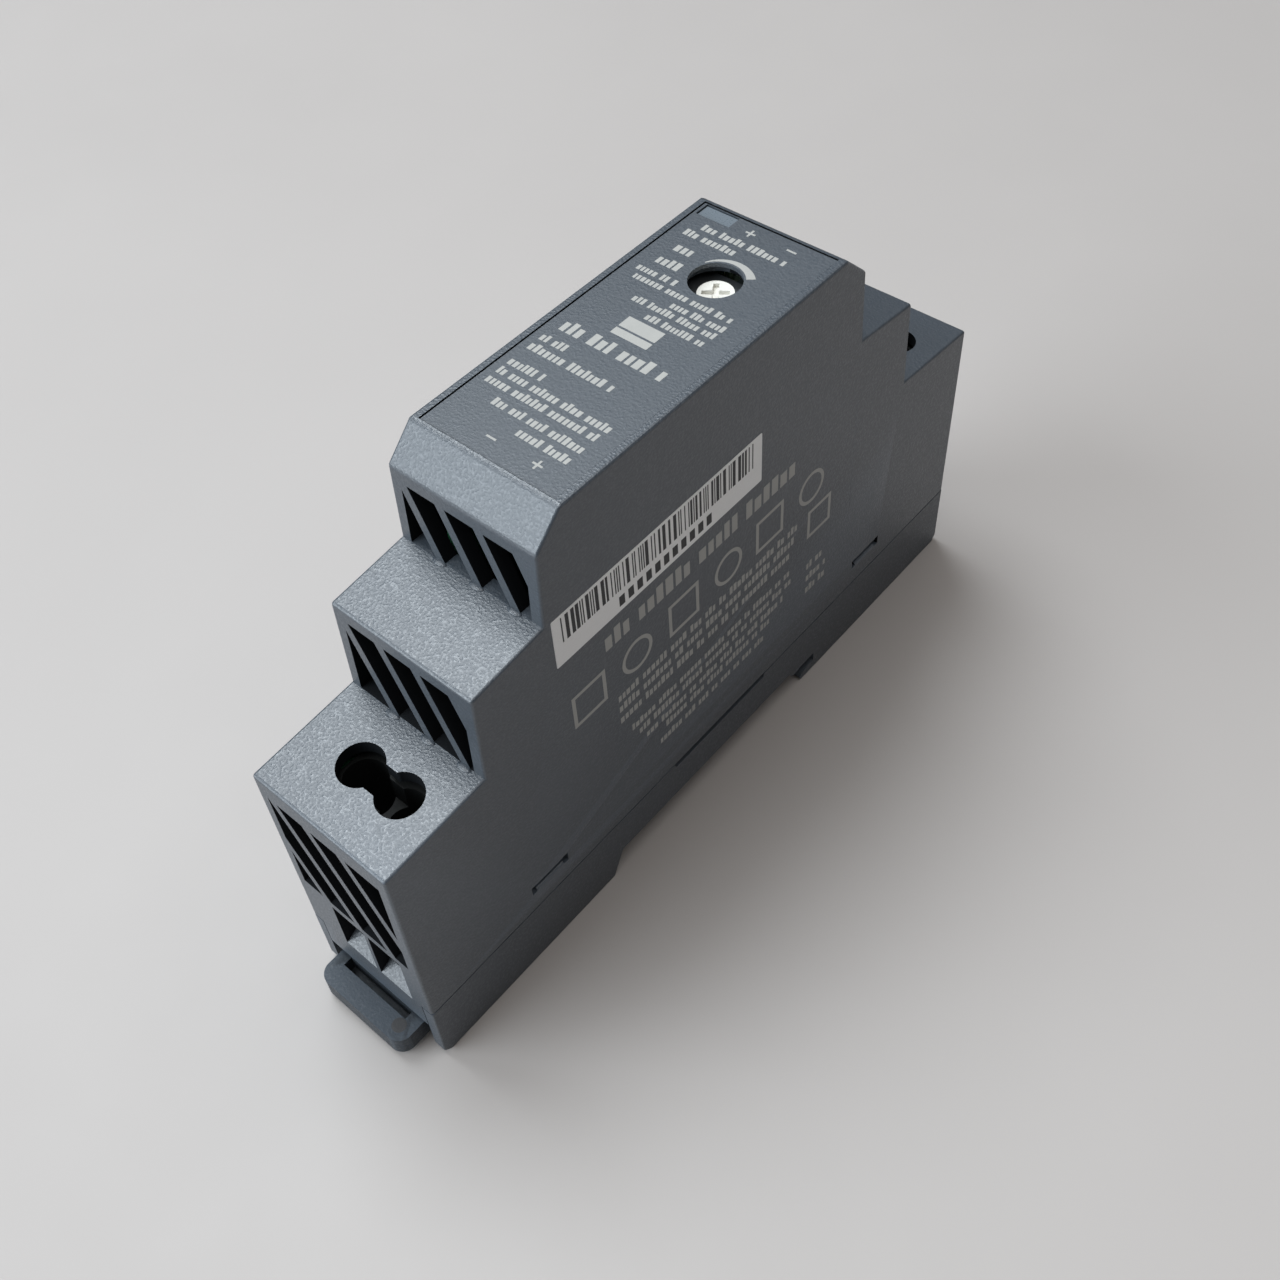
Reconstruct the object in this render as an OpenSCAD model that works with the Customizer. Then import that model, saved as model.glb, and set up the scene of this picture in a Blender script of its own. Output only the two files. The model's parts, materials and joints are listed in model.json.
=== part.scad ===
// One-module DIN rail power supply, standing on its rail-side feet.
// X is the width, Y the wiring direction and Z points out of the front face.
// The origin is the middle of the plane that seats on a 35 mm rail.
// The input terminals are at the -Y end, which also carries the rail latch.

/* [Case] */
// width of the case, one module wide
case_w = 17.5; // [17.3:0.1:18]
// length of the case between its two wiring ends
case_l = 90; // [89:0.5:92]
// height of the front face above the rail seat
front_z = 56.9; // [56.4:0.1:57.5]
// height of the shoulder beside the front block
shoulder_z = 45.05; // [44.5:0.05:45.5]
// height of the wiring step beside the shoulder
wiring_z = 33.1; // [32.5:0.1:33.5]
// how far both steps fall toward the ends
step_fall = 1; // [0:0.1:1.5]
// half length of the flat front face
front_half = 19.75; // [19:0.25:20.5]
// half length of the front block at the top of its upright wall
block_half = 23; // [22.5:0.25:23.5]
// half length of the shoulder at the top of its upright wall
shoulder_half = 32.25; // [31.5:0.25:33]
// how far each upright wall leans out on its way down
wall_lean = 0.4; // [0:0.1:0.6]
// thickness of the moulded walls
wall = 1.4; // [1.3:0.1:1.5]
// height of the seam between housing and base
seam_z = 6.6; // [6.3:0.1:7]
// width of the seam line
seam_gap = 0.2; // [0.05:0.01:0.2]

/* [Front] */
// thickness of the inset front plate
panel_t = 0.45; // [0.4:0.05:0.6]
// how far the inset plate lies below the front rim
panel_drop = 0.12; // [0.08:0.02:0.2]
// radius of the hole over the trimmer
trim_hole_r = 2.62; // [2.4:0.02:2.8]
// width of the status light window
led_w = 3.9; // [3.5:0.1:4]
// length of the status light window
led_l = 1.7; // [1.4:0.1:1.8]

/* [Vents] */
// half width of every vent
vent_half = 7.4; // [7:0.1:7.5]
// thickness of the slanting vent ribs, measured across
rib_w = 1.15; // [0.9:0.05:1.4]
// distance between the slanting ribs
rib_pitch = 4.58; // [4.4:0.02:4.8]
// slope of the ribs, sideways travel per unit of height
rib_slope = 0.485; // [0.4:0.005:0.55]

/* [Terminals] */
// distance between neighbouring poles
pitch = 5.08; // [5:0.01:5.2]
// sideways position of the first pole
pole_x = -1.4; // [-1.6:0.1:-1]
// distance of the screws from the middle of the case
screw_y = 38.3; // [38:0.1:38.6]
// radius of the screwdriver holes
driver_r = 2.35; // [2.2:0.05:2.4]
// radius of the screw heads
head_r = 1.9; // [1.7:0.05:1.95]
// travel of each clamp cage
cage_travel = 3; // [2:0.1:3]

/* [Rail foot] */
// depth of the feet below the rail seat
foot_h = 2.6; // [2.5:0.05:2.8]
// distance from the middle to the bottom of the fixed hook
hook_y = 17.9; // [17.7:0.1:18]
// height of the slot over the hook lip
hook_gap = 1.3; // [1.2:0.05:1.4]
// reach of the latch nose under the rail edge, measured from the middle
nose_y = 15.1; // [14.8:0.1:15.5]
// how far the pull tab stands out of the case
tab_out = 3.2; // [3:0.1:3.5]

/* [Circuit] */
// thickness of the circuit board
board_t = 1.6; // [1.2:0.1:1.6]
// radius of the round capacitors
can_r = 4; // [3.5:0.1:4]

/* [Hidden] */
$fn = 48;
half_w = case_w / 2;
half_l = case_l / 2;
in_w = half_w - wall;
in_l = half_l - wall;
in_z = front_z - wall;
slit = 0.1;
chamfer_z = front_z - 3.15;
panel_z = front_z - panel_drop;
floor_top = 2.2;
floor_low = 0.8;
hook_rise = 0.2;
poles = [pole_x, pole_x + pitch];

shoulder_vent_z = [shoulder_z + 0.05, shoulder_z + 7.3];
wiring_vent_z = [wiring_z + 0.05, wiring_z + 9.5];
end_vent_z = [14.7, 29.6];
entry_z = [6.4, 13.7];
entry_half = 2.25;
entry_slope = 0.9;
tongue_z = 2.4;
neck_w = 2.9;

trim_pos = [0.55, 10.35];
led_pos = [-5.5, 18.35];
panel_half = [7.8, 19.3];

snap_y = 27.6;
snap_z = 9.9;

face_x = -4.1;
board_x = face_x - board_t;
pin_tip = board_x - 0.8;
solder_r = 0.35;
hole_r = 0.45;

bar_z = [11.6, 12.4];
low_bar_z = [8.6, 9.4];
bar_y = 32.9;
core_mid = [1.6, 0, 29];
pin_rows = [-4.5, -1.5, 1.5, 4.5];
input_cans = [[-24.5, 15.5], [-24.5, 25]];
output_cans = [[24.5, 15.5], [24.5, 25]];
input_choke = [-21, 36.6];
output_choke = [20, 36.6];
pocket_y = [-36, -23.5];
post_y = [-35.9, -34.7];

outer_near = [
    [-half_l, seam_z],
    [-half_l, wiring_z - step_fall],
    [-shoulder_half - wall_lean, wiring_z],
    [-shoulder_half, shoulder_z - step_fall],
    [-block_half - wall_lean, shoulder_z],
    [-block_half, chamfer_z],
    [-front_half, front_z],
];
inset = [
    [wall, -30], [wall, -wall], [wall, -wall], [wall, -wall],
    [wall, -wall], [wall, -wall / 2], [wall / 2, -wall],
];
inner_near = [for (i = [0 : 6]) outer_near[i] + inset[i]];

// ---- helpers ----

function mirrored(points) = concat(
    points,
    [for (i = [len(points) - 1 : -1 : 0]) [-points[i][0], points[i][1]]]
);

// a box given by its lowest and highest corner
module block(low, high) {
    translate(low) cube(high - low);
}

// a side-view outline (Y, Z) drawn out along X
module along_x(x0, x1) {
    translate([x0, 0, 0]) rotate([90, 0, 90]) linear_extrude(x1 - x0) children();
}

// an end-view outline (X, Z) drawn out along Y
module along_y(y0, y1) {
    translate([0, y1, 0]) rotate([90, 0, 0]) linear_extrude(y1 - y0) children();
}

// a round bar along X
module bar_x(x0, x1, y, z, r) {
    translate([x0, y, z]) rotate([0, 90, 0]) cylinder(h = x1 - x0, r = r);
}

// the same thing at the other wiring end
module far_end() {
    mirror([0, 1, 0]) children();
}

// ---- case ----

// openings between slanting ribs; last_rib is how wide the rib at the +X end is
module vent_outline(span, foot, last_rib) {
    tall = span[1] - span[0];
    lean = rib_slope * (tall + 1);
    difference() {
        translate([-vent_half, span[0]]) square([2 * vent_half, tall]);
        for (k = [0 : 3]) {
            width = k == 3 ? last_rib : rib_w;
            translate([foot + k * rib_pitch - rib_w / 2, span[0]]) polygon([
                [rib_slope, -1],
                [rib_slope + width, -1],
                [width - lean, tall + 1],
                [-lean, tall + 1],
            ]);
        }
    }
}

module wire_entry(x) {
    along_x(x - entry_half, x + entry_half) polygon([
        [-half_l - 1, entry_z[0] - entry_slope / wall],
        [-half_l, entry_z[0]],
        [-in_l + slit, entry_z[0] + entry_slope],
        [-in_l + slit, entry_z[1] - entry_slope / 2],
        [-half_l, entry_z[1]],
        [-half_l - 1, entry_z[1]],
    ]);
}

module driver_holes() {
    translate([0, -screw_y, wiring_z - 3]) linear_extrude(5) {
        for (x = poles) translate([x, 0]) circle(driver_r);
        translate([poles[0], -neck_w / 2]) square([pitch, neck_w]);
    }
}

module snap_slots() {
    for (y = [-snap_y, snap_y]) {
        block([-half_w - 1, y - 2.6, snap_z - 0.35], [half_w + 1, y + 2.6, snap_z + 0.35]);
        for (e = [-2.3, 2.3])
            block([-half_w - 1, y + e - 0.35, snap_z - 0.65], [half_w + 1, y + e + 0.35, snap_z + 0.65]);
    }
}

module end_cuts() {
    along_y(-block_half - 2, -block_half + wall + 1) vent_outline(shoulder_vent_z, -3.7, vent_half);
    along_y(-shoulder_half - 2, -shoulder_half + wall + 1) vent_outline(wiring_vent_z, -2.85, vent_half);
    along_y(-half_l - 1, -in_l + slit) vent_outline(end_vent_z, -4.1, rib_w);
    for (x = poles) wire_entry(x);
    driver_holes();
}

module front_cuts() {
    recess_w = panel_half[0] + slit;
    recess_l = panel_half[1] + slit;
    block([-recess_w, -recess_l, panel_z - panel_t - 0.02], [recess_w, recess_l, front_z + 1]);
    translate([trim_pos[0], trim_pos[1], in_z - 1]) cylinder(h = 4, r = trim_hole_r + 0.5);
    translate([led_pos[0], led_pos[1], front_z])
        cube([led_w + slit, led_l + slit, 2 * wall + 0.4], center = true);
}

module front_housing() {
    color("#8c98a3") difference() {
        union() {
            along_x(-half_w, half_w) polygon(mirrored(outer_near));
            for (s = [0, 1]) mirror([0, s, 0])
                block([-in_w + slit, -half_l, tongue_z], [in_w - slit, -in_l, seam_z + 1]);
        }
        along_x(-in_w, in_w) polygon(mirrored(inner_near));
        end_cuts();
        far_end() end_cuts();
        front_cuts();
        snap_slots();
    }
}

module base_outline() {
    polygon([
        [-half_l, 1 - foot_h],
        [1 - half_l, -foot_h],
        [-18.8, -foot_h],
        [-17.1, floor_low],
        [13, floor_low],
        [13.6, 0],
        [15, 0],
        [15, hook_rise],
        [hook_y, hook_rise],
        [hook_y, hook_rise - hook_gap],
        [15.7, hook_rise - hook_gap - 0.4],
        [15.2, hook_rise - hook_gap - 0.85],
        [15.5, -foot_h],
        [half_l - 1, -foot_h],
        [half_l, 1 - foot_h],
        [half_l, seam_z - seam_gap],
        [8, seam_z - seam_gap],
        [7.8, seam_z - 0.75],
        [-7.8, seam_z - 0.75],
        [-8, seam_z - seam_gap],
        [-half_l, seam_z - seam_gap],
    ]);
}

module snap_tongue() {
    root_z = 5.5;
    block([in_w - 1.2, snap_y - 2, floor_top - 0.5], [in_w + 0.2, snap_y + 2, root_z]);
    block([in_w - 1.2, snap_y - 2, root_z - 0.1], [in_w - 0.15, snap_y + 2, snap_z + 0.7]);
    block([in_w - 0.6, snap_y - 1.7, snap_z - 0.22], [in_w + 0.85, snap_y + 1.7, snap_z + 0.22]);
}

module board_guide() {
    block([board_x - 0.95, -2, floor_top - 0.5], [board_x - slit, 2, 4.6]);
    block([face_x + slit, -2, floor_top - 0.5], [face_x + 0.95, 2, 4.6]);
}

module rear_base() {
    color("#43454a") {
        difference() {
            along_x(-half_w, half_w) base_outline();
            block([-in_w, -half_l - 1, floor_top], [in_w, half_l + 1, seam_z + 1]);
            block([-in_w, -half_l - 1, -foot_h - 1], [in_w, -16.9, 1]);
            block([-in_w, -half_l - 1, -foot_h - 1], [in_w, -in_l + 0.2, seam_z]);
            block([-in_w, hook_y + 1.5, -foot_h + wall], [in_w, in_l, seam_z]);
        }
        for (s = [0, 1]) mirror([s, 0, 0]) {
            block([6.6, -43, -foot_h], [in_w + 0.2, -19.2, -2.1]);
            block([5.7, -17, 0], [in_w + 0.2, -12, floor_low + 0.5]);
            snap_tongue();
            far_end() snap_tongue();
        }
        block([-1.5, post_y[0], -1.6], [1.5, post_y[1], 1.5]);
        for (y = [-12, 12]) translate([0, y, 0]) board_guide();
    }
}

module front_panel() {
    color("#7d8b99") difference() {
        block([-panel_half[0], -panel_half[1], panel_z - panel_t], [panel_half[0], panel_half[1], panel_z]);
        translate([trim_pos[0], trim_pos[1], front_z - 1]) cylinder(h = 2, r = trim_hole_r);
        translate([led_pos[0], led_pos[1], front_z])
            cube([led_w + slit, led_l + slit, 2], center = true);
    }
}

module status_lens() {
    top = panel_z - 0.15;
    guide_y = [led_pos[1] - 0.75, led_pos[1] + 0.45];
    color("#c9cfd6") {
        translate([led_pos[0] - led_w / 2, led_pos[1] - led_l / 2, in_z + 0.02])
            cube([led_w, led_l, top - in_z - 0.02]);
        block([-7.1, guide_y[0], in_z - 1.4], [led_pos[0] + led_w / 2 - 0.1, guide_y[1], in_z + 0.1]);
        block([face_x + slit, guide_y[0], 51.9], [face_x + 1.4, guide_y[1], in_z - 0.1]);
    }
}

module serial_label() {
    color("#e9eaec") block([half_w, -22.6, 38.7], [half_w + 0.08, 6.8, 45]);
}

// ---- rail latch ----

module rail_latch() {
    low = -1.75;
    top = 0.85;
    corner = 1.6;
    grip_floor = 0.6;
    tab_x = [-6.4, 6];
    end_y = -half_l - tab_out;
    color("#7f8d9a") difference() {
        union() {
            block([-in_w + 0.2, -42, low], [in_w - 0.2, -18, top]);
            translate([0, 0, low]) linear_extrude(top - low) {
                translate([tab_x[0], end_y + corner]) square([tab_x[1] - tab_x[0], 5 - corner + tab_out]);
                translate([tab_x[0] + corner, end_y]) square([tab_x[1] - tab_x[0] - 2 * corner, 5]);
                for (x = [tab_x[0] + corner, tab_x[1] - corner])
                    translate([x, end_y + corner]) circle(corner);
            }
            along_x(-5, 5) polygon([
                [-20, 0], [-17.9, 0], [-17.9, -1.15], [-nose_y, -1.25],
                [-nose_y - 0.1, -1.6], [-nose_y - 1.6, -2.45], [-20.5, -2.45], [-21.5, low],
            ]);
        }
        block([-5, -45.75, low + grip_floor], [4.3, -44.75, top + 1]);
        block([-1.75, pocket_y[0], -4], [1.75, pocket_y[1], top + 1]);
    }
}

module latch_spring() {
    wire = 0.19;
    coil_r = 0.95;
    turns = 10;
    length = pocket_y[1] - post_y[1] - 0.1 - 2 * wire;
    step = length / turns;
    tilt = atan(step / 2 / coil_r);
    color("#b8bcc2") translate([0, post_y[1] + 0.05 + wire, -0.45]) for (k = [0 : turns - 1])
        translate([0, (k + 0.5) * step, 0]) rotate([0, 0, k % 2 == 0 ? tilt : -tilt])
            rotate([90, 0, 0]) rotate_extrude($fn = 32)
                translate([coil_r / cos(tilt), 0]) circle(wire, $fn = 16);
}

// ---- circuit board and its parts ----

module board_holes() {
    for (s = [-1, 1]) {
        for (z = [(bar_z[0] + bar_z[1]) / 2, (low_bar_z[0] + low_bar_z[1]) / 2])
            bar_x(board_x - 1, face_x + 1, s * bar_y, z, 0.65);
        for (z = pin_rows) bar_x(board_x - 1, face_x + 1, s * 7, core_mid[2] + z, hole_r);
    }
    for (p = concat(input_cans, output_cans), d = [-1.75, 1.75])
        bar_x(board_x - 1, face_x + 1, p[0], p[1] + d, hole_r);
    for (d = [-2.5, 2.5]) bar_x(board_x - 1, face_x + 1, input_choke[0] + d, input_choke[1], hole_r);
    for (y = [-2.3, 0, 2.3]) bar_x(board_x - 1, face_x + 1, trim_pos[1] + y, 51.4, hole_r);
}

module circuit_board() {
    color("#2f6b45") difference() {
        along_x(board_x, face_x) polygon(mirrored([
            [-42.6, floor_top + 0.1], [-42.6, 29.5], [-30, 29.5], [-30, 41.5], [-20.6, 41.5], [-20.6, 52.6],
        ]));
        board_holes();
    }
}

module transformer_core() {
    color("#3b3b3e") translate(core_mid) for (s = [0, 1]) mirror([0, s, 0]) {
        block([-2.6, 5.6, -7.5], [2.6, 7.8, 7.5]);
        block([-2.6, 0.02, 5.6], [2.6, 5.7, 7.5]);
        block([-2.6, 0.02, -7.5], [2.6, 5.7, -5.6]);
        block([-2.6, 0.02, -1.9], [2.6, 5.7, 1.9]);
    }
}

module transformer_bobbin() {
    rail_low = face_x + 0.2 - core_mid[0];
    color("#1f1f22") translate(core_mid) difference() {
        union() {
            block([-3.45, -5.3, -2.75], [3.45, 5.3, 2.75]);
            for (s = [0, 1]) mirror([0, s, 0]) {
                block([-4.9, 4.7, -5.3], [4.9, 5.3, 5.3]);
                block([rail_low, 4.7, -5.3], [-2.9, 8, 5.3]);
            }
        }
        block([-2.75, -9, -2.05], [2.75, 9, 2.05]);
    }
}

module transformer_windings() {
    color("#d9b23c") translate(core_mid) difference() {
        block([-4.6, -4.6, -4.9], [4.6, 4.6, 4.9]);
        block([-3.5, -5, -2.8], [3.5, 5, 2.8]);
    }
}

module transformer_pins() {
    color("#c8ccd0") for (s = [-1, 1], z = pin_rows)
        bar_x(pin_tip, face_x + 0.2, s * 7, core_mid[2] + z, solder_r);
}

// standing cans with a rolled groove near the board and two leads
module cans(places, tall) {
    for (p = places) {
        bar_x(face_x + 0.1, face_x + 1.2, p[0], p[1], can_r);
        bar_x(face_x + 1.1, face_x + 1.6, p[0], p[1], can_r - 0.4);
        bar_x(face_x + 1.5, face_x + tall, p[0], p[1], can_r);
        for (d = [-1.75, 1.75]) bar_x(pin_tip, face_x + 0.5, p[0], p[1] + d, solder_r - 0.05);
    }
}

module input_capacitors() {
    color("#2b2c30") cans(input_cans, 11);
}

module output_capacitors() {
    color("#a9adb3") cans(output_cans, 10.4);
}

module input_choke_core() {
    color("#4a4a4d") {
        bar_x(face_x + 0.2, face_x + 1.4, input_choke[0], input_choke[1], 4);
        bar_x(face_x + 1.3, face_x + 8, input_choke[0], input_choke[1], 1.7);
        bar_x(face_x + 7.4, face_x + 8.6, input_choke[0], input_choke[1], 4);
        for (d = [-2.5, 2.5]) bar_x(pin_tip, face_x + 0.5, input_choke[0] + d, input_choke[1], solder_r);
    }
}

module input_choke_winding() {
    color("#b5652b") difference() {
        bar_x(face_x + 1.45, face_x + 7.35, input_choke[0], input_choke[1], 3.5);
        bar_x(face_x + 1, face_x + 8, input_choke[0], input_choke[1], 1.75);
    }
}

module output_choke() {
    color("#55575b") difference() {
        translate([face_x + 0.05, output_choke[0] - 3.6, output_choke[1] - 3.6]) cube([4, 7.2, 7.2]);
        bar_x(face_x + 3.6, face_x + 5, output_choke[0], output_choke[1], 2.6);
    }
}

// a flat moulded package with its metal tab on the board
module power_package(y, z) {
    translate([face_x, y, z]) {
        block([0.3, -3.3, -3], [2.4, 3.3, 3]);
        block([0, -2.6, -1.5], [0.4, 2.6, 4.4]);
        for (d = [-2.3, 2.3]) block([0, d - 0.4, -5.4], [0.5, d + 0.4, -2.9]);
    }
}

module switching_transistor() {
    color("#26272a") power_package(-12.5, 11.5);
}

module output_rectifier() {
    color("#26272a") power_package(12.5, 11.5);
}

module gull_package(y, z, body, legs) {
    translate([face_x, y, z]) {
        block([0.12, -body[0] / 2, -body[1] / 2], [1.7, body[0] / 2, body[1] / 2]);
        for (k = [0 : legs - 1], s = [0, 1]) mirror([0, 0, s]) {
            mid = (k - (legs - 1) / 2) * 1.27;
            block([0, mid - 0.2, body[1] / 2 + 0.3], [0.2, mid + 0.2, body[1] / 2 + 1]);
            block([0, mid - 0.2, body[1] / 2 + 0.2], [0.9, mid + 0.2, body[1] / 2 + 0.4]);
            block([0.7, mid - 0.2, body[1] / 2 - 0.1], [0.9, mid + 0.2, body[1] / 2 + 0.4]);
        }
    }
}

module controller_chip() {
    color("#1d1e20") gull_package(-12.5, 24, [5, 3.9], 4);
}

module optocoupler() {
    color("#ece9e2") gull_package(0, 42.5, [4.6, 4.4], 2);
}

module feedback_chip() {
    color("#1d1e20") gull_package(12.5, 42.5, [2.9, 1.6], 2);
}

module chips(places, size) {
    for (p = places) translate([face_x + size[0] / 2, p[0], p[1]]) cube(size, center = true);
}

module sense_resistors() {
    near_places = [[-16.5, 32], [-16.5, 29.5], [-12.5, 18.2]];
    far_places = [[14, 46.5], [9.5, 46.5], [17, 42.5]];
    color("#222326") chips(concat(near_places, far_places), [0.6, 3.2, 1.6]);
}

module input_fuse() {
    color("#efefe9") chips([[-31, 20]], [2.6, 3, 6.1]);
}

module bridge_capacitor() {
    color("#3f7fb5") chips([[0, 14]], [2.5, 5.7, 5]);
}

module ceramic_capacitors() {
    color("#b99a6b") chips([[-31, 12], [-5, 47], [0, 48.5], [16, 26], [31, 20], [31, 12]], [1.6, 1.6, 3.2]);
}

module status_led() {
    color("#d7f0c8") block([face_x, led_pos[1] - 1, 50.3], [face_x + 1.3, led_pos[1] + 1, 51.8]);
}

// ---- output voltage trimmer ----

module trimmer_body() {
    color("#35383c") difference() {
        union() {
            translate([trim_pos[0] - 4.45, trim_pos[1] - 3.25, 50.3]) cube([7.7, 6.5, 4.4]);
            for (y = [-2.3, 0, 2.3]) bar_x(pin_tip, face_x + 0.5, trim_pos[1] + y, 51.4, solder_r);
        }
        translate([trim_pos[0], trim_pos[1], 53]) cylinder(h = 3, r = 1.25);
    }
}

module trimmer_rotor() {
    disc_r = 1.78;
    slot_w = 0.55;
    top = in_z - 0.12;
    color("#e8e6df") translate([trim_pos[0], trim_pos[1], 0]) difference() {
        union() {
            translate([0, 0, 54.75]) cylinder(h = top - 54.75, r = disc_r);
            translate([0, 0, 53.1]) cylinder(h = 1.7, r = 1.2);
        }
        rotate([0, 0, 35]) for (a = [0, 90]) rotate([0, 0, a])
            translate([0, 0, top]) cube([2 * disc_r - 0.9, slot_w, 0.8], center = true);
    }
}

// ---- screw terminals ----

module terminal_body() {
    cavity = 2.15;
    top = wiring_z - step_fall - wall - 0.4;
    body_x = [face_x + 0.1, poles[1] + cavity + 0.85];
    color("#2c3a33") difference() {
        along_x(body_x[0], body_x[1]) polygon([
            [-in_l + 0.3, 4.4], [-33.5, 4.4], [-33.5, top], [-in_l + 1.9, top],
            [-in_l + 1.9, 14.3], [-in_l + 0.3, 14.3],
        ]);
        for (x = poles) {
            block([x - cavity, -half_l, 5.6], [x + cavity, -36, 16.85]);
            block([x - 1.4, -37, bar_z[0] - 0.1], [x + 1.4, -33, bar_z[1] + 0.1]);
            translate([x, -screw_y, 16]) cylinder(h = top, r = 1.4);
            translate([x, -screw_y, 17.45]) cylinder(h = top, r = driver_r - 0.15);
        }
        block([poles[0], -screw_y - neck_w / 2, top - 3], [poles[1], -screw_y + neck_w / 2, top + 1]);
    }
}

module input_terminal_body() {
    terminal_body();
}

module output_terminal_body() {
    far_end() terminal_body();
}

// one flat bar per pole, running back out of the block and over to the board
module contacts() {
    back = [-bar_y - 0.4, -bar_y + 0.4];
    for (x = poles) block([x - 1.3, -41.5, bar_z[0]], [x + 1.3, back[1], bar_z[1]]);
    block([pin_tip, back[0], bar_z[0]], [poles[0] + 1.3, back[1], bar_z[1]]);
    block([poles[1] - 1.3, back[0], low_bar_z[0]], [poles[1] + 1.3, back[1], bar_z[1]]);
    block([pin_tip, back[0], low_bar_z[0]], [poles[1] + 1.3, back[1], low_bar_z[1]]);
}

module input_contacts() {
    color("#c9b37a") contacts();
}

module output_contacts() {
    color("#c9b37a") far_end() contacts();
}

// captive cross-slotted screw, standing over the bar
module screw(x, y) {
    head_low = 17.5;
    head_top = 19.4;
    color("#b9bdc1") translate([x, y, 0]) difference() {
        union() {
            translate([0, 0, head_low]) cylinder(h = head_top - head_low, r = head_r);
            translate([0, 0, bar_z[1] + 0.2]) cylinder(h = head_low - bar_z[1], r = 1.25);
        }
        for (a = [0, 90]) rotate([0, 0, a])
            translate([0, 0, head_top]) cube([3, 0.65, 2.2], center = true);
    }
}

module input_screw_neg() {
    screw(poles[0], -screw_y);
}

module input_screw_pos() {
    screw(poles[1], -screw_y);
}

module output_screw_pos() {
    screw(poles[0], screw_y);
}

module output_screw_neg() {
    screw(poles[1], screw_y);
}

// rising metal cage, lowered to leave the wire space open
module cage(x, y) {
    top = 16.7 - cage_travel;
    color("#a8abb0") translate([x, y, top]) difference() {
        block([-2, -2.2, -7.8], [2, 2.2, 0]);
        block([-1.5, -3, -7], [1.5, 3, -0.8]);
        translate([0, 0, -2]) cylinder(h = 3, r = 1.3);
    }
}

module input_cage_neg() {
    cage(poles[0], -screw_y);
}

module input_cage_pos() {
    cage(poles[1], -screw_y);
}

module output_cage_pos() {
    cage(poles[0], screw_y);
}

module output_cage_neg() {
    cage(poles[1], screw_y);
}

front_housing();
rear_base();
front_panel();
status_lens();
serial_label();
rail_latch();
latch_spring();
circuit_board();
transformer_core();
transformer_bobbin();
transformer_windings();
transformer_pins();
input_capacitors();
output_capacitors();
input_choke_core();
input_choke_winding();
output_choke();
switching_transistor();
output_rectifier();
controller_chip();
optocoupler();
feedback_chip();
sense_resistors();
input_fuse();
bridge_capacitor();
ceramic_capacitors();
status_led();
trimmer_body();
trimmer_rotor();
input_terminal_body();
output_terminal_body();
input_contacts();
output_contacts();
input_screw_neg();
input_screw_pos();
output_screw_pos();
output_screw_neg();
input_cage_neg();
input_cage_pos();
output_cage_pos();
output_cage_neg();
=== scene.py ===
"""The looks of a one-module DIN rail power supply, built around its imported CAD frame."""

import json
import math
import random

import bmesh
import bpy
from mathutils import Matrix, Vector
from mathutils.bvhtree import BVHTree


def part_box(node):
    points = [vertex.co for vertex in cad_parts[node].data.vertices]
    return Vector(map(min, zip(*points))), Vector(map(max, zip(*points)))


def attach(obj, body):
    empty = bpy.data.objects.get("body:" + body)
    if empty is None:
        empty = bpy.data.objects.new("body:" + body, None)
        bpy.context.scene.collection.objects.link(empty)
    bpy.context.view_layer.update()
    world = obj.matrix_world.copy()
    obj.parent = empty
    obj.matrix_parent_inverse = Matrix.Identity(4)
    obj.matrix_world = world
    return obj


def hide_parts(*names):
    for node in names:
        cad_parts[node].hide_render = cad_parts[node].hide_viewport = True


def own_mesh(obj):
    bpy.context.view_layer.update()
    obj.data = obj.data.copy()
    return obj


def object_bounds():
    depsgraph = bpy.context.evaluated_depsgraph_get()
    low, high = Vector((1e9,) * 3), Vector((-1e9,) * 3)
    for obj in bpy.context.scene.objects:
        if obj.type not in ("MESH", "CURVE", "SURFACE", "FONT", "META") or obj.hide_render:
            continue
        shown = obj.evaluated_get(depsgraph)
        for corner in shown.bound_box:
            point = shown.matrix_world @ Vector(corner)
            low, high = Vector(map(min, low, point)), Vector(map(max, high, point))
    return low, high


MM = 0.001
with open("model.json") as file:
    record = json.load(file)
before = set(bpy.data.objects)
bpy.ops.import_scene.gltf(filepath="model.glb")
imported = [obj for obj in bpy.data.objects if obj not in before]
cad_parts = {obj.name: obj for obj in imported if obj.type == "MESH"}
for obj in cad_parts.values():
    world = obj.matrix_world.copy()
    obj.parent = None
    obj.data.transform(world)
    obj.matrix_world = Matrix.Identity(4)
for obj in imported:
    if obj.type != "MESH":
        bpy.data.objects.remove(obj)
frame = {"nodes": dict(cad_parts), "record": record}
cad_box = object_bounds()
scene = bpy.context.scene
CASE_LOW, CASE_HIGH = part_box("front_housing")
HALF_W = CASE_HIGH.x
SEAM_ABOVE_TONGUE = 4.2  # mm, from the housing's lowest point up to the line where the base begins
TOUCH = 0.01 * MM  # two faces or edges closer than this are level


# ---------------------------------------------------------------- materials

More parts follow.
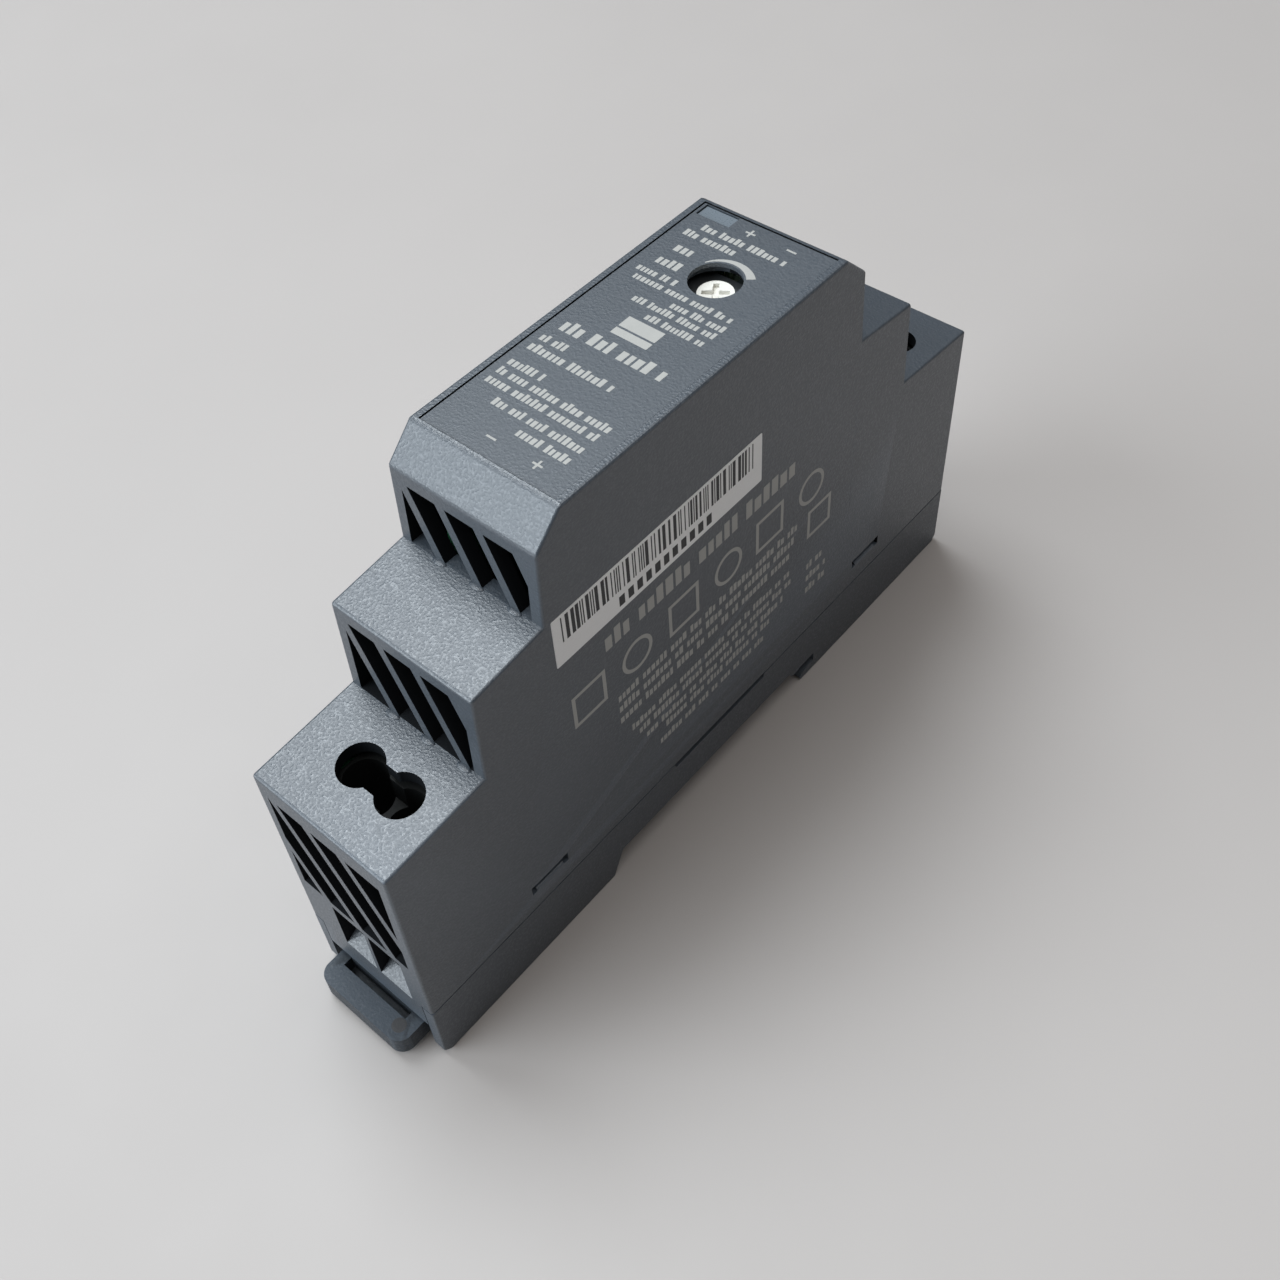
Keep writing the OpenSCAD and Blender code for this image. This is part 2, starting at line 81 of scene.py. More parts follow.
class Surface:
    """One node material that is put together step by step."""

    def __init__(self, name):
        self.material = bpy.data.materials.new(name)
        self.material.use_nodes = True
        tree = self.material.node_tree
        self.nodes, self.links = tree.nodes, tree.links
        self.shader = self.nodes["Principled BSDF"]
        self.place = self.nodes.new("ShaderNodeTexCoord").outputs["Object"]

    def noise(self, size_mm, detail=3.0, stretch=(1, 1, 1)):
        """Noise whose grains are about size_mm across."""
        mapping = self.nodes.new("ShaderNodeMapping")
        mapping.inputs["Scale"].default_value = [s / (size_mm * MM) for s in stretch]
        self.links.new(self.place, mapping.inputs["Vector"])
        noise = self.nodes.new("ShaderNodeTexNoise")
        noise.inputs["Scale"].default_value = 1.0
        noise.inputs["Detail"].default_value = detail
        self.links.new(mapping.outputs["Vector"], noise.inputs["Vector"])
        return noise.outputs["Fac"]

    def remap(self, value, low, high, to_low, to_high):
        node = self.nodes.new("ShaderNodeMapRange")
        for key, number in (("From Min", low), ("From Max", high),
                            ("To Min", to_low), ("To Max", to_high)):
            node.inputs[key].default_value = number
        self.links.new(value, node.inputs["Value"])
        return node.outputs["Result"]

    def blend(self, share, first, second):
        node = self.nodes.new("ShaderNodeMix")
        node.data_type = "RGBA"
        self.links.new(share, node.inputs["Factor"])
        for socket, colour in ((node.inputs[6], first), (node.inputs[7], second)):
            if isinstance(colour, bpy.types.NodeSocket):
                self.links.new(colour, socket)
            else:
                socket.default_value = (*colour, 1)
        return node.outputs[2]

    def edges(self, low=0.52, high=0.62):
        """1 along outside edges and 0 on flats."""
        geometry = self.nodes.new("ShaderNodeNewGeometry")
        return self.remap(geometry.outputs["Pointiness"], low, high, 0, 1)

    def colour(self, value):
        self.links.new(value, self.shader.inputs["Base Color"])

    def rough(self, value):
        self.links.new(value, self.shader.inputs["Roughness"])

    def bump(self, value, depth_mm, strength=1.0):
        node = self.nodes.new("ShaderNodeBump")
        node.inputs["Strength"].default_value = strength
        node.inputs["Distance"].default_value = depth_mm * MM
        self.links.new(value, node.inputs["Height"])
        self.links.new(node.outputs["Normal"], self.shader.inputs["Normal"])


def scaled(colour, factor):
    return tuple(min(1, c * factor) for c in colour)


def finish_material(name, colour, rough=0.5, metal=0.0, grain=0.4, depth=0.01, mottle=0.08,
                    edge_wear_and_highlight=1.3, stretch=(1, 1, 1), patch=6.0, **sockets):
    """Mottled colour, paler edges (wear and a painted highlight), uneven roughness and a fine grain."""
    s = Surface(name)
    s.shader.inputs["Metallic"].default_value = metal
    for key, value in sockets.items():
        s.shader.inputs[key.replace("_", " ")].default_value = value
    patches = s.noise(patch, 4)
    base = s.blend(patches, scaled(colour, 1 - mottle), scaled(colour, 1 + mottle))
    grains = s.noise(grain, 2, stretch)
    base = s.blend(s.remap(grains, 0.35, 0.75, 0, 0.35), base, scaled(colour, 1.25))
    # Edges painted paler: wear together with a painted highlight.
    s.colour(s.blend(s.remap(s.edges(), 0, 1, 0, 0.5), base, scaled(colour, edge_wear_and_highlight)))
    s.rough(s.remap(grains, 0.3, 0.7, rough - 0.06, rough + 0.08))
    s.bump(grains, depth)
    return s.material


def moulded_case(name, colour, rough=0.38, grain=0.26, depth=0.045, edge_wear_and_highlight=1.8, shine=0.9):
    """Spark-eroded plastic: a coarse pebble under a fine one, with glossy tops. Tops and edges are painted
    lighter: a painted glint on the tops beside their grain colour, and a painted highlight along the edges
    beside some wear.
    """
    s = Surface(name)
    s.shader.inputs["Specular IOR Level"].default_value = shine
    base = s.blend(s.noise(7, 4), scaled(colour, 0.95), scaled(colour, 1.05))
    pebble = s.noise(grain, 1.0)
    tops = s.remap(pebble, 0.45, 0.75, 0, 1)
    # Pebble tops painted lighter: partly the grain's own colour, partly a painted glint.
    base = s.blend(s.remap(tops, 0, 1, 0, 0.3), base, scaled(colour, 1.3))
    # Edges painted lighter: a painted highlight along the rounded edges, with some wear.
    s.colour(s.blend(s.remap(s.edges(0.56, 0.66), 0, 1, 0, 0.6), base, scaled(colour, edge_wear_and_highlight)))
    s.rough(s.remap(tops, 0, 1, rough + 0.06, rough - 0.1))
    s.bump(pebble, depth)
    return s.material


CASE_COLOUR = (0.047, 0.059, 0.074)
MATERIALS = {
    "case": moulded_case("case_plastic", CASE_COLOUR),
    # Case colour at 0.12: painted shade for the inside of the case and its openings, the same plastic as
    # outside.
    "case_painted_shade": finish_material("case_painted_shade_plastic", scaled(CASE_COLOUR, 0.12), 0.75, grain=0.5,
                                   depth=0.01, edge_wear_and_highlight=1.1,
                                   Specular_IOR_Level=0.15),
    "base": moulded_case("base_plastic", scaled(CASE_COLOUR, 0.9), 0.46, depth=0.03),
    "panel": moulded_case("panel_film", scaled(CASE_COLOUR, 0.9), 0.46, depth=0.03, edge_wear_and_highlight=1.3),
    "latch": moulded_case("latch_plastic", scaled(CASE_COLOUR, 0.6), 0.5, depth=0.03, edge_wear_and_highlight=2.2,
                          shine=0.35),
    "lens": finish_material("lens_plastic", (0.16, 0.19, 0.22), 0.3, grain=0.2, depth=0.004,
                            Transmission_Weight=0.25),
    "label": finish_material("sticker_paper", (0.80, 0.80, 0.80), 0.55, grain=0.15, depth=0.004,
                             mottle=0.02, edge_wear_and_highlight=1.05),
    "print": finish_material("pale_print", (0.36, 0.36, 0.345), 0.6, grain=0.12, depth=0.003,
                             mottle=0.18, patch=1.2, edge_wear_and_highlight=1.0),
    "ink": finish_material("black_ink", (0.012, 0.012, 0.014), 0.5, grain=0.1, depth=0.002, mottle=0.2,
                           patch=1.0),
    "steel": finish_material("zinc_steel", (0.55, 0.56, 0.58), 0.36, 1.0, grain=0.25, depth=0.006,
                             stretch=(1, 1, 6)),
    "screw_steel": finish_material("nickel_steel", (0.62, 0.61, 0.58), 0.28, 1.0, grain=0.3,
                                   depth=0.004),
    "board": finish_material("board_resist", (0.016, 0.085, 0.040), 0.35, grain=0.5, depth=0.006,
                             patch=3.0, Coat_Weight=0.3),
    "ferrite": finish_material("ferrite", (0.035, 0.035, 0.038), 0.55, grain=0.2, depth=0.012, edge_wear_and_highlight=2.2),
    "bobbin": finish_material("bobbin_plastic", (0.018, 0.018, 0.020), 0.45, grain=0.3, depth=0.008),
    "tape": finish_material("winding_tape", (0.62, 0.42, 0.07), 0.3, grain=0.6, depth=0.02,
                            stretch=(0.15, 1, 1)),
    "pins": finish_material("tinned_wire", (0.66, 0.66, 0.67), 0.25, 1.0, grain=0.3, depth=0.003),
    "sleeve": finish_material("dark_sleeve", (0.020, 0.026, 0.045), 0.3, grain=0.7, depth=0.008,
                              patch=4.0),
    "can": finish_material("drawn_aluminium", (0.62, 0.63, 0.65), 0.3, 1.0, grain=0.3, depth=0.004,
                           stretch=(0.1, 1, 1)),
    "copper": finish_material("enamelled_copper", (0.55, 0.20, 0.07), 0.25, 0.9, grain=0.4, depth=0.003,
                              Coat_Weight=0.5),
    "mould": finish_material("black_epoxy", (0.016, 0.016, 0.018), 0.5, grain=0.15, depth=0.008,
                             edge_wear_and_highlight=2.0),
    "white_mould": finish_material("white_epoxy", (0.74, 0.72, 0.66), 0.5, grain=0.15, depth=0.006,
                                   mottle=0.03),
    "fuse": finish_material("fuse_ceramic", (0.74, 0.74, 0.70), 0.25, grain=0.5, depth=0.004,
                            mottle=0.04),
    "film": finish_material("dipped_blue", (0.03, 0.13, 0.36), 0.25, grain=0.8, depth=0.015),
    "ceramic": finish_material("brown_ceramic", (0.33, 0.20, 0.10), 0.4, grain=0.2, depth=0.004),
    "led": finish_material("clear_led", (0.55, 0.75, 0.48), 0.2, grain=0.4, depth=0.002,
                           Transmission_Weight=0.4),
    # Dark grey trimmer body: painted shade standing in for the shaded well round the rotor.
    "trimmer_case": finish_material("trimmer_painted_shade", (0.05, 0.055, 0.06), 0.4, grain=0.3, depth=0.006),
    "rotor": finish_material("rotor_white", (0.74, 0.73, 0.68), 0.42, grain=0.25, depth=0.006,
                             mottle=0.04, edge_wear_and_highlight=1.05),
    "terminal": finish_material("terminal_plastic", (0.010, 0.011, 0.011), 0.6, grain=0.3, depth=0.008,
                                Specular_IOR_Level=0.15),
    "contact": finish_material("tinned_brass", (0.60, 0.47, 0.20), 0.3, 1.0, grain=0.3, depth=0.004,
                               stretch=(1, 0.2, 1)),
}


# ---------------------------------------------------------------- mesh helpers

BODY_OF = {n: b for b, members in frame["record"]["behaviour"]["bodies"].items() for n in members}
SLOT_OF = {s["node"]: s["material_slot"] for s in frame["record"]["subparts"]}


def keep_flats_flat(mesh):
    """Wide faces shade by their own normal, and rounded edges blend between them."""
    wide, same_turn = 2e-6, math.cos(math.radians(50))
    around = [[] for _ in mesh.vertices]
    for face in mesh.polygons:
        for i in face.vertices:
            around[i].append((face.normal.copy(), face.area))
    normals = []
    for face in mesh.polygons:
        for i in face.vertices:
            own = face.normal.copy()
            if face.area < wide:
                near = [(n, a) for n, a in around[i] if n.dot(own) > same_turn]
                own = sum((n * (a * 1e6) ** 2 for n, a in near), own * 1e-6).normalized()
            normals.append(own)
    mesh.normals_split_custom_set(normals)


def add_piece(name, bm, body, look, slot=None, sharp_deg=30, plain_flats=False):
    """Turns bm into a piece that rides on body; plain_flats keeps its wide faces evenly shaded."""
    bmesh.ops.recalc_face_normals(bm, faces=bm.faces)
    mesh = bpy.data.meshes.new(name)
    bm.to_mesh(mesh)
    bm.free()
    for face in mesh.polygons:
        face.use_smooth = True
    mesh.set_sharp_from_angle(angle=math.radians(sharp_deg))
    mesh.materials.append(MATERIALS[look])
    obj = bpy.data.objects.new(name, mesh)
    scene.collection.objects.link(obj)
    if plain_flats:
        keep_flats_flat(mesh)
    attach(obj, body)
    return obj


def copy_of(node):
    """The CAD node's mesh, welded and with its flat faces whole."""
    bm = bmesh.new()
    bm.from_mesh(frame["nodes"][node].data)
    bmesh.ops.remove_doubles(bm, verts=bm.verts, dist=0.0005 * MM)
    bmesh.ops.dissolve_limit(bm, angle_limit=math.radians(0.4), verts=bm.verts, edges=bm.edges)
    return bm


def outside_edges(bm, least_deg=25):
    return [e for e in bm.edges if len(e.link_faces) == 2 and e.is_convex
            and e.calc_face_angle(0) > math.radians(least_deg)]


def round_edges(bm, edges, radius_mm, segments=3):
    if edges:
        bmesh.ops.bevel(bm, geom=edges, offset=radius_mm * MM, segments=segments, profile=0.5,
                        affect="EDGES", clamp_overlap=True)


def soften(node, rounds, name=None):
    """A copy of a CAD node with rounded edges. Each round is (radius, which edges)."""
    bm = copy_of(node)
    for radius, wanted in rounds:
        round_edges(bm, [e for e in outside_edges(bm) if wanted(e)], radius)
    slot = SLOT_OF[node]
    piece = add_piece(name or node + "_moulding", bm, BODY_OF[node], slot, slot, plain_flats=True)
    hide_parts(node)
    return piece


def add_box(bm, low, high):
    corners = [Vector((x, y, z)) for x in (low[0], high[0]) for y in (low[1], high[1])
               for z in (low[2], high[2])]
    verts = [bm.verts.new(c) for c in corners]
    for quad in ((0, 1, 3, 2), (4, 6, 7, 5), (0, 4, 5, 1), (2, 3, 7, 6), (0, 2, 6, 4), (1, 5, 7, 3)):
        bm.faces.new([verts[i] for i in quad])


# ---------------------------------------------------------------- case

def on_side(e):
    return all(abs(abs(v.co.x) - HALF_W) < TOUCH for v in e.verts)


def across(e):
    """An edge that crosses the whole case."""
    run = e.verts[0].co - e.verts[1].co
    return abs(run.x) > 1.8 * HALF_W and abs(run.y) + abs(run.z) < TOUCH


def at_seam(e):
    """An edge beside the line where housing and base meet."""
    seam_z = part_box("front_housing")[0].z + SEAM_ABOVE_TONGUE * MM
    return all(abs(v.co.z - seam_z) < 0.6 * MM for v in e.verts)


def longer(e, least_mm):
    return (e.verts[0].co - e.verts[1].co).length > least_mm * MM


def envelope(e):
    """A long outside edge of the case, away from the seam."""
    return longer(e, 2.4) and (on_side(e) or across(e)) and not at_seam(e)


def seam(e):
    return on_side(e) and at_seam(e) and longer(e, 2.4)


def fine(e):
    return longer(e, 1.0)


def paint_shade_inside(piece):
    """Gives the walls' inner faces and the sides of the openings a much darker case colour, as painted
    shade.
    """
    piece.data.materials.append(MATERIALS["case_painted_shade"])
    skin = HALF_W - 0.6 * MM
    well_radius, sill_area = 3.2 * MM, 12e-6
    stepped_from, low_step_from, front_from = 20 * MM, 30 * MM, 20 * MM  # along Y, along Y, along Z
    screws = [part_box(n) for n in frame["nodes"] if "_screw_" in n]
    wells = [(low + high) / 2 for low, high in screws]
    for face in piece.data.polygons:
        n, c = face.normal, face.center
        clear_of_skin = all(abs(piece.data.vertices[i].co.x) < skin for i in face.vertices)
        inner_side = n.x * c.x < 0 and abs(n.x) > 0.9 and abs(c.x) > HALF_W - 2 * MM
        inner_end = abs(n.x) < 0.2 and abs(n.y) > 0.9 and n.y * c.y < 0
        inner_front = n.z < -0.7 and c.z > front_from
        rib_side = clear_of_skin and abs(n.x) > 0.3 and abs(n.y) < 0.3 and abs(c.y) > stepped_from
        sill = clear_of_skin and n.z > 0.9 and abs(c.y) > low_step_from and face.area < sill_area
        well_side = abs(n.z) < 0.2 and any(
            math.hypot(c.x - w.x, c.y - w.y) < well_radius for w in wells)
        if inner_side or inner_end or inner_front or rib_side or sill or well_side:
            face.material_index = 1


SEAM_RADIUS = 0.04
housing = soften("front_housing", [(0.4, envelope), (SEAM_RADIUS, seam)], "housing_moulding")
paint_shade_inside(housing)
soften("rear_base", [(0.3, envelope), (SEAM_RADIUS, seam)], "base_moulding")
soften("rail_latch", [(0.3, fine)], "latch_moulding")


def rib_feet():
    """Low raised lips where the vent ribs come down on the steps."""
    shape = BVHTree.FromPolygons([v.co for v in housing.data.vertices],
                                 [f.vertices for f in housing.data.polygons])
    rib_pitch, ribs, stand_off = 4.58, 3, 0.35
    bm = bmesh.new()
    for riser, first in ((23.15, -3.7), (32.5, -2.85)):
        for k in range(ribs):
            for end in (-1, 1):
                x, y = (first + k * rib_pitch) * MM, end * (riser + stand_off) * MM
                hit = shape.ray_cast(Vector((x, y, CASE_HIGH.z + MM)), Vector((0, 0, -1)))[0]
                lip = Matrix.Translation(hit) @ Matrix.Diagonal((0.85 * MM, 0.42 * MM, 0.16 * MM, 1))
                bmesh.ops.create_icosphere(bm, subdivisions=3, radius=1, matrix=lip)
    add_piece("rib_feet", bm, "case", "case", SLOT_OF["front_housing"])


def tab_shade_and_sink_line():
    """A near-black disc painted on the pull tab as painted shade, and the sink line down the +X side."""
    tab_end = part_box("rail_latch")[0].y
    tab_top, shade_radius = 0.85 * MM, 0.8 * MM
    bm = bmesh.new()
    spot = Matrix.Translation(Vector((4.3 * MM, tab_end + 1.6 * MM, tab_top)))
    # Painted shade: a near-black disc where the right end of the pull tab lies in shade.
    bmesh.ops.create_cone(bm, cap_ends=True, segments=32, radius1=shade_radius, radius2=shade_radius,
                          depth=0.03 * MM, matrix=spot)
    add_piece("tab_painted_shade", bm, "latch", "bobbin", SLOT_OF["rail_latch"])
    bm = bmesh.new()
    add_box(bm, (HALF_W - 0.02 * MM, 23.25 * MM, 21 * MM),
            (HALF_W + 0.006 * MM, 23.37 * MM, 38 * MM))
    add_piece("sink_line", bm, "case", "base", SLOT_OF["front_housing"])


rib_feet()
tab_shade_and_sink_line()


# ---------------------------------------------------------------- print

def rect_prism(bm, place, u0, u1, v0, v1, low, high):
    """A thin printed rectangle on a face; place(u, v, w) gives the point."""
    corners = ((u0, v0), (u1, v0), (u1, v1), (u0, v1))
    verts = [bm.verts.new(place(u, v, w)) for w in (low, high) for u, v in corners]
    for quad in ((3, 2, 1, 0), (4, 5, 6, 7), (0, 1, 5, 4), (1, 2, 6, 5), (2, 3, 7, 6), (3, 0, 4, 7)):
        bm.faces.new([verts[i] for i in quad])


def ring_prism(bm, place, centre, radii, start_deg, end_deg, low, high, steps=28):
    """An arc-shaped printed band; radii(t) gives its inner and outer radius at t from 0 to 1."""
    rows = []
    for i in range(steps + 1):
        t = i / steps
        angle = math.radians(start_deg + (end_deg - start_deg) * t)
        inner, outer = radii(t)
        spots = [(centre[0] + r * math.cos(angle), centre[1] + r * math.sin(angle)) for r in (inner, outer)]
        rows.append([bm.verts.new(place(u, v, w)) for w in (low, high) for u, v in spots])
    closed = abs(end_deg - start_deg) >= 360
    if closed:
        bmesh.ops.delete(bm, geom=rows.pop(), context="VERTS")
    count = len(rows)
    for i in range(count if closed else count - 1):
        a, b = rows[i], rows[(i + 1) % count]
        for p, q in ((0, 1), (1, 3), (3, 2), (2, 0)):
            bm.faces.new((a[p], a[q], b[q], b[p]))
    if not closed:
        for row in (rows[0], rows[-1]):
            bm.faces.new((row[0], row[1], row[3], row[2]))


def frame_prism(bm, place, u0, u1, v0, v1, line, low, high):
    """A printed rectangle outline."""
    rect_prism(bm, place, u0, u1, v0, v0 + line, low, high)
    rect_prism(bm, place, u0, u1, v1 - line, v1, low, high)
    rect_prism(bm, place, u0, u0 + line, v0 + line, v1 - line, low, high)
    rect_prism(bm, place, u1 - line, u1, v0 + line, v1 - line, low, high)


def filler_row(bm, place, rng, u0, u1, v, height, low, high):
    """A row of plain blocks standing in for a printed line."""
    u = u0
    while u < u1 - 0.3 * height:
        for _ in range(rng.randint(2, 7)):
            width = height * rng.uniform(0.34, 0.5)
            if u + width > u1:
                return
            top = v + height * (0.5 if rng.random() < 0.3 else 0.28)
            rect_prism(bm, place, u, u + width, v - height / 2, top, low, high)
            u += width + 0.16 * height
        u += 0.45 * height


PRINT_LOW, PRINT_HIGH = -0.01, 0.012  # mm, how far the print reaches below and above its surface
FRONT_ROWS = (  # v, u from, u to, height
    (16.1, -5.5, 4.5, 0.95), (14.6, -6.5, -0.3, 0.95), (12.2, -5.6, -3.4, 1.2), (9.8, -5.8, -2.8, 1.2),
    (7.8, -6.6, -2.0, 0.85), (6.6, -6.0, 5.8, 0.85), (5.2, -0.4, 5.8, 0.85), (4.0, -3.9, 5.8, 0.85),
    (2.6, -1.2, 5.8, 0.85), (-2.7, -6.4, 5.7, 1.6), (-5.1, -6.9, -3.6, 0.95), (-6.6, -6.9, 3.2, 1.05),
    (-9.2, -6.9, -2.3, 0.95), (-10.6, -6.9, 6.3, 0.95), (-12.0, -6.9, 6.3, 0.95), (-13.8, -4.4, 6.3, 0.95),
    (-15.4, 0.0, 6.3, 0.95),
)
SIGNS = ((17.9, -1.2, True), (17.9, 3.6, False), (-17.3, -1.3, False), (-17.3, 4.0, True))
SIDE_ROWS = (  # height above the seat, y from, y to, height
    (36.1, -16.5, 13.5, 2.3), (26.6, -15.5, 13.5, 1.1), (24.9, -15.5, 13.5, 1.1), (23.1, -15.5, 13.0, 1.1),
    (20.2, -14.0, 12.5, 1.0), (18.6, -13.0, 12.5, 1.0), (16.9, -12.0, 11.5, 1.0), (15.4, -9.0, 9.0, 1.0),
    (13.4, -10.0, 8.0, 1.0),
)


def front_print():
    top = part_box("front_panel")[1].z / MM
    rotor_low, rotor_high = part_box("trimmer_rotor")
    hole = ((rotor_low + rotor_high) / 2 / MM)[:2]

    def place(u, v, w):
        return Vector((u, v, top + w)) * MM

    rng = random.Random(3)
    bm = bmesh.new()
    low, high = PRINT_LOW, PRINT_HIGH
    arm, stroke = 0.55, 0.11
    for v, u0, u1, height in FRONT_ROWS:
        filler_row(bm, place, rng, u0, u1, v, height, low, high)
    for v, u, plus in SIGNS:
        rect_prism(bm, place, u - arm, u + arm, v - stroke, v + stroke, low, high)
        if plus:
            rect_prism(bm, place, u - stroke, u + stroke, v + stroke, v + arm, low, high)
            rect_prism(bm, place, u - stroke, u + stroke, v - arm, v - stroke, low, high)
    rect_prism(bm, place, -2.4, 1.8, -1.0, -0.1, low, high)
    rect_prism(bm, place, -2.4, 1.8, 0.15, 1.7, low, high)
    ring_prism(bm, place, hole, lambda t: (2.82, 2.95 + 0.75 * t), 148, 38, low, high)
    add_piece("front_print", bm, "case", "print", "label")


def on_right_side(u, v, w):
    """The point at Y = u and Z = v, w outside the +X side."""
    return Vector((HALF_W / MM + w, u, v)) * MM


def side_print():
    place = on_right_side
    rng = random.Random(8)
    bm = bmesh.new()
    low, high = PRINT_LOW, PRINT_HIGH
    for v, u0, u1, height in SIDE_ROWS:
        filler_row(bm, place, rng, u0, u1, v, height, low, high)
    middle, size, line = 30.6, 4.6, 0.45
    for k, u in enumerate((-19.2, -12.4, -5.4, 1.6, 8.4, 15.6)):
        if k % 2:
            ring_prism(bm, place, (u, middle), lambda t: (1.75, 2.2), 0, 360, low, high, 36)
        else:
            frame_prism(bm, place, u - size / 2, u + size / 2, middle - size / 2, middle + size / 2,
                        line, low, high)
    frame_prism(bm, place, 15.2, 19.4, 22.8, 27.0, line, low, high)
    for v in (14.2, 16.2, 18.2):
        filler_row(bm, place, rng, 15.4, 19.2, v, 1.1, low, high)
    add_piece("side_print", bm, "case", "print", "label")


def sticker():
    low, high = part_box("serial_label")
    y0, y1, z0, z1 = (c / MM for c in (low.y, high.y, low.z, high.z))
    place = on_right_side
    bm = bmesh.new()
    rect_prism(bm, place, y0, y1, z0, z1, -0.01, 0.05)
    upright = [e for e in bm.edges if abs(e.verts[0].co.x - e.verts[1].co.x) > 0.02 * MM]
    round_edges(bm, upright, 0.15, 3)
    sheet = add_piece("sticker_sheet", bm, "case", "label", "label")
    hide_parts("serial_label")

    rng = random.Random(21)
    bm = bmesh.new()
    ink = (0.04, 0.062)
    u, end = y0 + 1.1, y1 - 1.3
    while u < end:
        width = rng.choice((0.14, 0.14, 0.28, 0.42))
        rect_prism(bm, place, u, u + width, z0 + 2.7, z1 - 0.35, *ink)
        u += width + rng.choice((0.16, 0.16, 0.3, 0.42))
    for k in range(11):
        u = y0 + 8.4 + k * 1.25
        rect_prism(bm, place, u, u + 0.75, z0 + 0.6, z0 + 1.9, *ink)
    add_piece("sticker_bars", bm, "case", "ink", "label")


front_print()
side_print()
sticker()


# ---------------------------------------------------------------- pieces inside the case

def block_piece(bm, low, high, radius_mm=0.1, segments=2):
    """Adds a box with rounded edges."""
    before = set(bm.verts)
    add_box(bm, low, high)
    edges = [e for e in bm.edges if not set(e.verts) & before]
    round_edges(bm, edges, radius_mm, segments)


def lathe(bm, profile, frame_matrix, steps=40):
    """Turns a profile of (radius, height) in mm round the local Z axis."""
    rings = []
    for radius, height in profile:
        if radius < 1e-6:
            rings.append([bm.verts.new(frame_matrix @ Vector((0, 0, height * MM)))])
            continue
        angles = [2 * math.pi * i / steps for i in range(steps)]
        spots = [Vector((radius * math.cos(a), radius * math.sin(a), height)) for a in angles]
        rings.append([bm.verts.new(frame_matrix @ (spot * MM)) for spot in spots])
    for a, b in zip(rings, rings[1:]):
        for i in range(steps):
            quad = (a[i % len(a)], a[(i + 1) % len(a)], b[(i + 1) % len(b)], b[i % len(b)])
            corners = list(dict.fromkeys(quad))
            if len(corners) > 2:
                bm.faces.new(corners)


def sweep(bm, points, radius, centre_of, sides=10):
    """A round wire along points; centre_of(point) is the axis point that it winds about."""
    rows = []
    for i, point in enumerate(points):
        run = (points[min(i + 1, len(points) - 1)] - points[max(i - 1, 0)]).normalized()
        out = (point - centre_of(point)).normalized()
        out = (out - run * out.dot(run)).normalized()
        side = run.cross(out)
        rows.append([bm.verts.new(point + (out * math.cos(a) + side * math.sin(a)) * radius)
                     for a in (2 * math.pi * k / sides for k in range(sides))])
    for a, b in zip(rows, rows[1:]):
        for k in range(sides):
            bm.faces.new((a[k], a[(k + 1) % sides], b[(k + 1) % sides], b[k]))
    for row in (rows[0], rows[-1]):
        bm.faces.new(row)


def solids_of(node):
    """(low, high) of each separate solid of a CAD node."""
    bm = copy_of(node)
    left, found = set(bm.verts), []
    while left:
        stack, group = [left.pop()], []
        while stack:
            vert = stack.pop()
            group.append(vert.co.copy())
            for edge in vert.link_edges:
                other = edge.other_vert(vert)
                if other in left:
                    left.remove(other)
                    stack.append(other)
        found.append((Vector(min(c[i] for c in group) for i in range(3)),
                      Vector(max(c[i] for c in group) for i in range(3))))
    bm.free()
    return sorted(found, key=lambda box: tuple(round(c, 6) for c in box[0]))


def stand_in(name, bm, node, look=None, **how):
    """Adds bm as a piece shown in place of a CAD node, with the material of that node's slot unless look
    names another.
    """
    piece = add_piece(name, bm, BODY_OF[node], look or SLOT_OF[node], SLOT_OF[node], **how)
    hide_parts(node)
    return piece


def along_x(y, z, x):
    """Local Z points along +X from (x, y, z)."""
    return Matrix.Translation((x, y, z)) @ Matrix.Rotation(math.radians(90), 4, "Y")


BOARD_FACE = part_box("circuit_board")[1].x
BOARD_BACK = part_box("circuit_board")[0].x


def latch_spring():
    low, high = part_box("latch_spring")
    wire = 0.19 * MM
    middle = (low + high) / 2
    radius = (high.x - low.x) / 2 - wire
    turns, dead, steps = 10, 1, 28
    start, end = low.y + wire, high.y - wire
    total = turns * steps
    points = []
    for i in range(total + 1):
        turn = i / steps
        close = 2 * wire * min(turn, dead) + 2 * wire * max(0, turn - turns + dead)
        share = min(max(turn - dead, 0), turns - 2 * dead) / (turns - 2 * dead)
        y = start + close + share * (end - start - 4 * wire * dead)
        angle = 2 * math.pi * turn
        points.append(Vector((middle.x + radius * math.cos(angle), y,
                              middle.z + radius * math.sin(angle))))
    bm = bmesh.new()
    sweep(bm, points, wire, lambda p: Vector((middle.x, p.y, middle.z)), 10)
    spring = stand_in("spring_coil", bm, "latch_spring", sharp_deg=60)
    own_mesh(spring)


def carved(bm, cutter):
    """bm with cutter's shape taken out of it."""
    objects = []
    for source in (bm, cutter):
        bmesh.ops.recalc_face_normals(source, faces=source.faces)
        mesh = bpy.data.meshes.new("carving")
        source.to_mesh(mesh)
        source.free()
        obj = bpy.data.objects.new("carving", mesh)
        scene.collection.objects.link(obj)
        objects.append(obj)
    body, tool = objects
    cut = body.modifiers.new("cut", "BOOLEAN")
    cut.object, cut.operation, cut.solver = tool, "DIFFERENCE", "EXACT"
    bpy.context.view_layer.update()
    shape = body.evaluated_get(bpy.context.evaluated_depsgraph_get())
    result = bmesh.new()
    result.from_mesh(shape.to_mesh())
    for obj in objects:
        bpy.data.objects.remove(obj)
    return result


